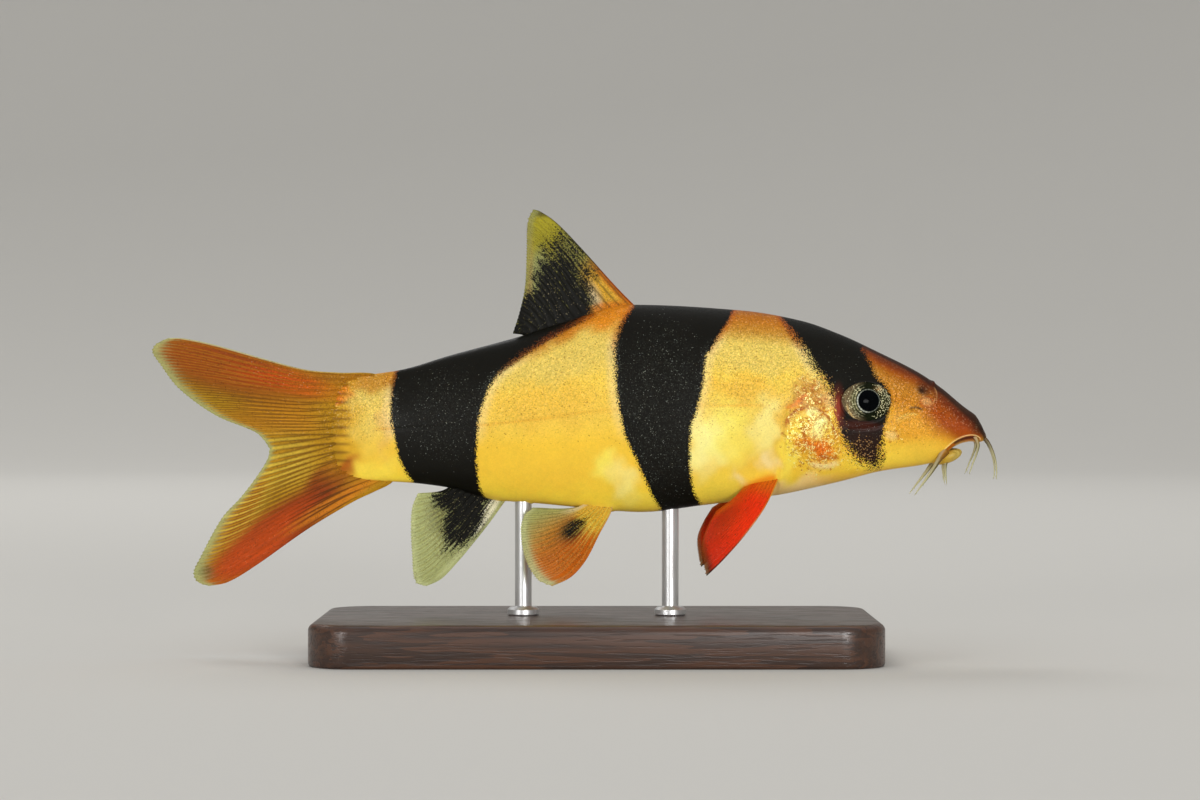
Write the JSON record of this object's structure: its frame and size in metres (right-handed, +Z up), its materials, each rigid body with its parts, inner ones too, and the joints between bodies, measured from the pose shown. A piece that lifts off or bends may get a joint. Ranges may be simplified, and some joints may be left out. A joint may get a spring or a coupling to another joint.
{
  "type": "clown loach",
  "caption": "Life-size clown loach in a swimming pose: gold body with broad black bands, rayed red fins, forked tail and snout barbels, held over a flat wooden base by short rods.",
  "frame": {"origin": "floor level under the middle of the fish, half way between the front barbels' tips and the tail's tip", "axes": "+X towards the snout, +Y towards the fish's left side, +Z up; the stand's underside lies at Z = 0"},
  "size_m": [0.0911, 0.034, 0.0482],
  "materials": {
    "skin": "wet glossy fish skin, gold with black bands",
    "eye": "clear and wet, dark gold iris",
    "fin_dark": "thin wet membrane, black to olive",
    "fin_red": "thin wet membrane, orange-red",
    "fin_amber": "thin wet membrane, red and olive",
    "barbel": "soft wet skin",
    "stand_wood": "oiled dark wood",
    "stand_steel": "brushed"
  },
  "bodies": {
    "root": {"anal_fin": "fin_dark", "barbel_lower_lip_left": "barbel", "barbel_lower_lip_right": "barbel", "barbel_mouth_corner_left": "barbel", "barbel_mouth_corner_right": "barbel", "barbel_snout_inner_left": "barbel", "barbel_snout_inner_right": "barbel", "barbel_snout_outer_left": "barbel", "barbel_snout_outer_right": "barbel", "dorsal_fin": "fin_dark", "eye_left": "eye", "eye_right": "eye", "head": "skin", "pectoral_fin_left": "fin_red", "pectoral_fin_right": "fin_red", "pelvic_fin_left": "fin_amber", "pelvic_fin_right": "fin_amber", "stand_base": "stand_wood", "stand_rod_front": "stand_steel", "stand_rod_rear": "stand_steel", "tail_fin_lower": "fin_amber", "tail_fin_upper": "fin_amber", "tail_stem": "skin", "trunk": "skin"}
  },
  "joints": []
}
